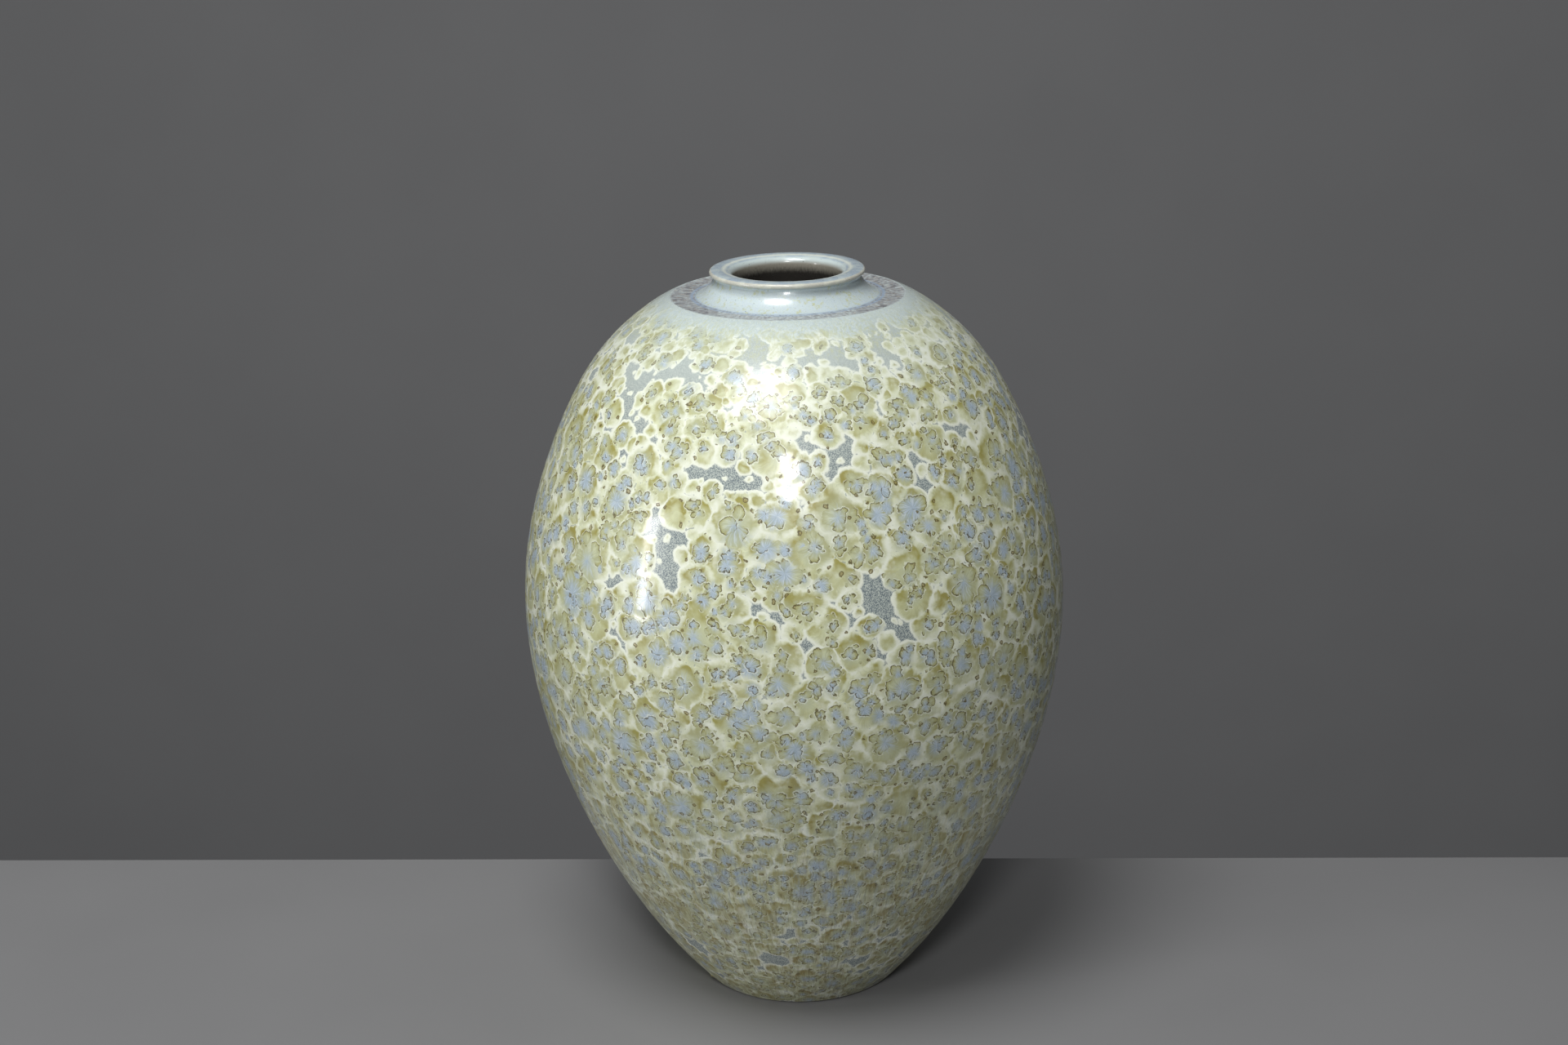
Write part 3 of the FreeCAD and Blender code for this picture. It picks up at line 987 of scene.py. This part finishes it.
def neck_finish(colours):
    """Pale blue-white glaze, stained on the skirt, beige on the bead and bluish on the lip."""
    finish = Finish("neck_glaze")
    place = finish.place()
    flow, radius, height = runs_down(finish, place, 40.0, 0.5)
    fine = finish.noise(place, 1.7, 3.0, 0.6)
    patches = finish.noise(place, 0.16, 3.0)
    streaks = finish.noise(flow, 1.0, 4.0, 0.65)
    speckle = finish.noise(place, 2.4, 2.0, 0.5).rise(0.50, 0.66)
    skirt = Coats(finish, colours, "shoulder")
    skirt.lay(streaks.rise(0.45, 0.62) * 0.45, "needle_light")
    skirt.lay(speckle * 0.35, "needle")
    stain = finish.noise(place, 0.38, 4.0, 0.7).rise(0.50, 0.64) * patches.rise(0.42, 0.55)
    skirt.lay(stain * 0.7, "hair")
    foot = (radius + (streaks - 0.5) * 1.6).near(SKIRT_FOOT, 1.5) * height.rise(*SKIRT_FOOT_HIGH)
    skirt.lay(foot * 0.7, "needle")
    # Painted shade: a darker grain-coloured band just under the lip's bead
    skirt.lay(height.near(LIP_SHADE_HEIGHT, 2.6) * radius.rise(*LIP_SHADE_OUT) * 0.35, "grain")
    edge = Coats(finish, colours, "bead")
    edge.lay(finish.noise(place, 2.6, 1.0, 0.5).rise(0.55, 0.68) * 0.35, "grain")
    edge.lay(patches.rise(0.45, 0.6) * 0.3, "rim")
    skirt.lay(height.rise(*BEAD_HIGH) * radius.rise(*BEAD_OUT) * 0.9, edge.colour)
    top = Coats(finish, colours, "lip")
    top.lay(patches.rise(0.35, 0.65) * 0.7, "shoulder")
    top.lay((radius + (fine - 0.5) * 1.5).near(LIP_RING, 1.8) * 0.7, "rim")
    on_top = height.rise(*LIP_TOP_HIGH) * (radius + (fine - 0.5) * 0.8).rise(*LIP_TOP_OUT)
    skirt.lay(on_top, top.colour)
    # Painted shade: down the throat the glaze goes from the pale shoulder colour through grey to near-black,
    # as the light falls off inside the jar
    throat = Coats(finish, colours, "shoulder")
    throat.lay(height.rise(*THROAT_SHADE_GREY), "throat")
    throat.lay((height + (streaks - 0.5) * 3.0).rise(*THROAT_SHADE_DARK), "inside")
    skirt.lay(radius.rise(*THROAT_OUT) * height.rise(*THROAT_HIGH), throat.colour)
    pits = finish.noise(place, 1.3, 1.0, 0.4).rise(0.745, 0.775)
    skirt.lay(pits * 0.85, "iron")
    relief = fine * 0.5 + patches * 2.0 - pits * 1.5
    return finish.finish(skirt.colour, 0.22 + fine * 0.08, relief, 0.00012, coat=0.4)


def liner_finish(colours):
    """Glaze inside the jar, painted near-black as shade, streaked where it ran down."""
    finish = Finish("liner_glaze")
    place = finish.place()
    runs = finish.noise(place * (1.0, 1.0, 0.12), 0.22, 4.0, 0.6)
    fine = finish.noise(place, 1.4, 3.0)
    # Painted shade: the near-black inside colour, streaked with the grey throat colour, darkens the whole
    # liner
    base = finish.blend(runs.rise(0.35, 0.65) * 0.3, colours.inside, colours.throat)
    return finish.finish(base, 0.35 + fine * 0.1, fine, 0.0001)


def clay_finish(colours, name, paleness):
    """Bare fired clay with a tooth and specks of iron."""
    finish = Finish(name)
    place = finish.place()
    tooth = finish.noise(place, 1.6, 5.0, 0.65)
    broad = finish.noise(place, 0.12, 3.0)
    specks = finish.noise(place, 2.4, 1.0, 0.3).rise(0.70, 0.75)
    base = finish.blend(paleness + broad.rise(0.3, 0.7, 0.0, 0.25), colours.clay, colours.cream)
    base = finish.blend(specks * 0.7, base, colours.iron)
    return finish.finish(base, 0.78 + tooth * 0.12, tooth, 0.00025)


def plain_finish(name, tone, roughness):
    """Painted board, with the faint unevenness of a rolled coat."""
    finish = Finish(name)
    place = finish.place()
    coat = finish.noise(place, 0.004, 3.0)
    return finish.finish(finish.blend(coat.rise(0.3, 0.7) * 0.06, tone, (0.5, 0.5, 0.5)), roughness)


# Operators


def settings():
    return bpy.context.scene.moon_jar


def neck_wobble(points, amount):
    """The slight swing that hands leave in a thrown neck, always inside the CAD node's box."""
    turn = np.arctan2(points[:, 1], points[:, 0])
    radius = np.hypot(points[:, 0], points[:, 1])
    high = np.clip((points[:, 2] - SHOULDER) / (LIP - SHOULDER), 0, 1)
    swing = 0.5 + 0.25 * np.sin(2 * turn + 0.7) + 0.25 * np.sin(3 * turn + 2.1)
    squeeze = 1 - amount * high * swing / radius
    points[:, 0] *= squeeze
    points[:, 1] *= squeeze
    points[:, 2] -= amount * 0.8 * high * (0.5 + 0.3 * np.sin(2 * turn + 2.9) + 0.2 * np.sin(5 * turn))
    points[:, 2] = np.minimum(points[:, 2], LIP - LIP_MARGIN)
    return points


class MOONJAR_OT_body_glaze(Operator):
    """Turns the body's two glaze coats and grows their crystals"""

    bl_idname = "moonjar.body_glaze"
    bl_label = "Body glaze"

    spacing: length("Spacing", "Distance between the turned rows", 0.0014)
    steps: IntProperty(name="Steps", description="Faces around the body", default=500)

    def execute(self, context):
        given = settings()
        outlines = {
            node: outline_of(node, self.spacing, 10 * self.spacing)
            for node in ("lower_glaze_coat", "upper_glaze_coat")
        }
        fired = Fired(self.outer_line(outlines))
        random = np.random.default_rng(given.crystals.seed)
        pads = grow_pads(fired, given.crystals, random)
        hearts = grow_hearts(fired, pads, random)
        lobes = grow_lobes(fired, pads, hearts, random)
        glaze = CrystalGlaze(given.colours).made()
        for name, node in (
            ("lower_crystal_coat", "lower_glaze_coat"),
            ("upper_crystal_coat", "upper_glaze_coat"),
        ):
            piece = turn(name, outlines[node], self.steps, glaze)
            self.raise_relief(piece.data, fired, pads, given.crystals)
            write_growths(piece.data, "pad", pads, 3)
            write_growths(piece.data, "heart", hearts, 2)
            write_growths(piece.data, "lobe", lobes, 3)
            stand_for(piece, [node])
        return {"FINISHED"}

    def outer_line(self, outlines):
        """The fired outside from the foot to the shoulder, in rising order."""
        rows = np.concatenate(list(outlines.values()))
        order = np.argsort(rows[:, 1], kind="stable")
        rows = rows[order]
        outer = []
        for low in np.arange(rows[0, 1], rows[-1, 1], 2 * self.spacing):
            level = rows[(rows[:, 1] >= low) & (rows[:, 1] < low + 2 * self.spacing)]
            if len(level):
                outer.append(level[level[:, 0].argmax()])
        return np.array(outer)

    def pad_lift(self, points, pads, relief):
        """How far the pads stand up: full in the middle and nothing where two meet."""
        found = pads.nearest(points, 3)
        spots = (pads.local(points, found[:, rank]) for rank in range(3))
        gaps = [np.hypot(spot[:, 0], spot[:, 1]) - spot[:, 2] for spot in spots]
        first, second, _ = np.sort(gaps, axis=0)
        slope_width = 2.0
        depth = np.clip(np.minimum(-first, (second - first) / 2) / slope_width, 0, 1)
        return relief * depth * depth * (3 - 2 * depth)

    def raise_relief(self, mesh, fired, pads, sizes):
        """Lifts the crystals a little out of the glaze, and leaves faint throwing rings and one drip."""
        skin_band, ring_pitch, low_fade, high_fade = 0.5 * MM, 11 * MM, 6 * MM, 3 * MM
        points = points_of(mesh)
        height = points[:, 2]
        radius = np.hypot(points[:, 0], points[:, 1])
        outside = np.interp(height, fired.line[:, 1], fired.line[:, 0])
        on_skin = np.clip((radius - outside) / skin_band + 1.0, 0, 1)
        turned = np.arctan2(points[:, 1], points[:, 0])
        rings = np.sin(height * math.tau / ring_pitch + 1.3 * np.sin(turned)) * 0.5 + 0.5
        swell = np.sin(2 * turned + height * 21) * np.sin(3 * turned - height * 34) * 0.5 + 0.5
        lift = self.pad_lift(points, pads, sizes.relief)
        lift += (sizes.skin - sizes.relief) * (0.35 * rings + 0.55 * swell)
        nib, _, _ = fired.spots(fired.at_height(np.array([sizes.nib_height])), np.array([sizes.nib_turn]))
        away = np.linalg.norm(points - nib, axis=1) / sizes.nib_width
        drip = sizes.nib_width * np.exp(-away * away)
        ends = np.clip((height - fired.line[0, 1]) / low_fade, 0, 1)
        ends *= np.clip((fired.line[-1, 1] - height) / high_fade, 0, 1)
        sink = ((sizes.skin - lift) * ends - drip) * on_skin
        points[:, :2] *= (1 - sink / radius)[:, None]
        set_points(mesh, points)


class MOONJAR_OT_neck(Operator):
    """Turns the glazed neck and the band of glaze at its foot"""

    bl_idname = "moonjar.neck"
    bl_label = "Neck and band"

    spacing: length("Spacing", "Distance between the turned rows", 0.0005)
    steps: IntProperty(name="Steps", description="Faces around the neck", default=360)
    wobble: length("Wobble", "How far the neck swings from a true circle", 0.00022)

    def execute(self, context):
        colours = settings().colours
        for name, node, slot, finish in (
            ("turned_neck", "neck_glaze", "neck_glaze", neck_finish(colours)),
            ("shoulder_band", "shoulder_band_glaze", "band_glaze", band_finish(colours)),
        ):
            piece = turn(name, outline_of(node, self.spacing, 2 * self.spacing), self.steps, finish)
            if node == "neck_glaze":
                set_points(piece.data, neck_wobble(points_of(piece.data), self.wobble))
            stand_for(piece, [node])
        return {"FINISHED"}


class MOONJAR_OT_clay_and_liner(Operator):
    """Finishes the clay pieces, the slip seams and the glaze inside the jar"""

    bl_idname = "moonjar.clay_and_liner"
    bl_label = "Clay, slip and liner"

    def execute(self, context):
        colours = settings().colours
        clay = clay_finish(colours, "bare_clay", 0.05)
        slip = clay_finish(colours, "joining_slip", 0.45)
        liner = liner_finish(colours)
        for material, nodes in (
            (clay, ("foot_ring", "lower_bowl", "upper_bowl", "neck_collar")),
            (slip, ("foot_slip_seam", "waist_slip_seam", "neck_slip_seam")),
            (liner, ("lower_liner_glaze", "upper_liner_glaze")),
        ):
            for node in nodes:
                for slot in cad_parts[node].material_slots:
                    slot.material = material
        return {"FINISHED"}


AIR_COLOUR = (0.62, 0.63, 0.65, 1.0)
AIR_STRENGTH = 0.19
SENSOR_WIDTH = 36.0


class MOONJAR_OT_studio(Operator):
    """Sets the table, the wall, the lamps and the camera"""

    bl_idname = "moonjar.studio"
    bl_label = "Studio"

    def execute(self, context):
        given = settings().studio
        self.table(given)
        self.wall(given)
        self.lamps()
        self.world()
        self.camera(given)
        return {"FINISHED"}

    def table(self, given):
        """A table top that ends a little way behind the jar."""
        half_width, front, thick = 3.2, -2.6, 0.03
        mesh = bpy.data.meshes.new("table")
        corners = [
            (x, y, z)
            for z in (FLOOR - thick, FLOOR)
            for y in (front, given.table_back)
            for x in (-half_width, half_width)
        ]
        faces = [(0, 2, 3, 1), (4, 5, 7, 6), (0, 1, 5, 4), (2, 6, 7, 3), (0, 4, 6, 2), (1, 3, 7, 5)]
        mesh.from_pydata(corners, [], faces)
        mesh.transform(Matrix.Rotation(given.table_turn, 4, "Z"))
        self.put_up(mesh, plain_finish("table_paint", given.floor, 0.6))

    def wall(self, given):
        """A wall a little way behind the table, wide enough for any view."""
        mesh = bpy.data.meshes.new("studio_wall")
        far, half_width, low, high = 2.6, 9, -3, 5
        corners = [(x, far, z) for z in (low, high) for x in (-half_width, half_width)]
        mesh.from_pydata(corners, [], [(0, 1, 3, 2)])
        self.put_up(mesh, plain_finish("wall_paint", given.wall, 0.8))

    def put_up(self, mesh, paint):
        mesh.materials.append(paint)
        piece = bpy.data.objects.new(mesh.name, mesh)
        bpy.context.scene.collection.objects.link(piece)

    def lamps(self):
        """Two round lamps high in front, a tall window-shaped one at the left, and two faint wide ones."""
        for name, place, aim, size, size_y, shape, power in (
            ("key_lamp", (-0.34, -0.74, 1.95), (0.0, 0.0, 0.30), 0.92, 0.92, "DISK", 24.8),
            ("front_lamp", (-0.05, -1.75, 1.45), (0.0, 0.0, 0.25), 0.34, 0.34, "DISK", 11.5),
            ("side_lamp", (-1.53, -0.78, 0.44), (0.0, 0.0, 0.20), 0.14, 0.66, "RECTANGLE", 7.5),
            ("left_lamp", (-1.70, -0.30, 1.30), (0.0, 0.0, 0.20), 1.0, 1.0, "SQUARE", 0.5),
            ("top_lamp", (-0.10, 0.10, 2.00), (0.0, 0.0, 0.20), 1.0, 1.0, "SQUARE", 1.5),
        ):
            light = bpy.data.lights.new(name, "AREA")
            light.shape = shape
            light.size, light.size_y = size, size_y
            light.energy = power
            lamp = bpy.data.objects.new(name, light)
            lamp.location = place
            lamp.rotation_euler = (Vector(aim) - Vector(place)).to_track_quat("-Z", "Y").to_euler()
            bpy.context.scene.collection.objects.link(lamp)

    def world(self):
        world = bpy.data.worlds.new("studio_air")
        world.use_nodes = True
        air = world.node_tree.nodes["Background"].inputs
        air["Color"].default_value = AIR_COLOUR
        air["Strength"].default_value = AIR_STRENGTH
        bpy.context.scene.world = world
        bpy.context.scene.view_settings.view_transform = "Standard"

    def camera(self, given):
        data = bpy.data.cameras.new("studio_camera")
        data.lens = given.focal_length
        data.sensor_width = SENSOR_WIDTH
        camera = bpy.data.objects.new("studio_camera", data)
        stand = Matrix.Translation((given.camera_aside, -given.camera_back, FLOOR + given.camera_high))
        tip = Matrix.Rotation(math.pi / 2 - given.camera_dip, 4, "X")
        camera.matrix_world = stand @ tip @ Matrix.Rotation(given.camera_roll, 4, "Z")
        bpy.context.scene.collection.objects.link(camera)
        bpy.context.scene.camera = camera


OPERATORS = (MOONJAR_OT_body_glaze, MOONJAR_OT_neck, MOONJAR_OT_clay_and_liner, MOONJAR_OT_studio)


class MOONJAR_PT_sidebar(Panel):
    """Lists the jar's steps and settings in the 3D view"""

    bl_idname = "MOONJAR_PT_sidebar"
    bl_label = "Moon jar"
    bl_space_type = "VIEW_3D"
    bl_region_type = "UI"
    bl_category = "Moon jar"

    def draw(self, context):
        for operator in OPERATORS:
            self.layout.operator(operator.bl_idname)
        for group in (settings().crystals, settings().colours, settings().studio):
            box = self.layout.box()
            for name in group.__annotations__:
                box.prop(group, name)


CLASSES = (CrystalSizes, GlazeColours, StudioSettings, MoonJarSettings, *OPERATORS, MOONJAR_PT_sidebar)


def register():
    for kind in CLASSES:
        bpy.utils.register_class(kind)
    bpy.types.Scene.moon_jar = PointerProperty(type=MoonJarSettings, name="Moon jar", description="The jar")


def unregister():
    del bpy.types.Scene.moon_jar
    for kind in reversed(CLASSES):
        bpy.utils.unregister_class(kind)


def main():
    register()
    bpy.ops.moonjar.body_glaze()
    bpy.ops.moonjar.neck()
    bpy.ops.moonjar.clay_and_liner()
    bpy.ops.moonjar.studio()


if __name__ == "__main__":
    main()
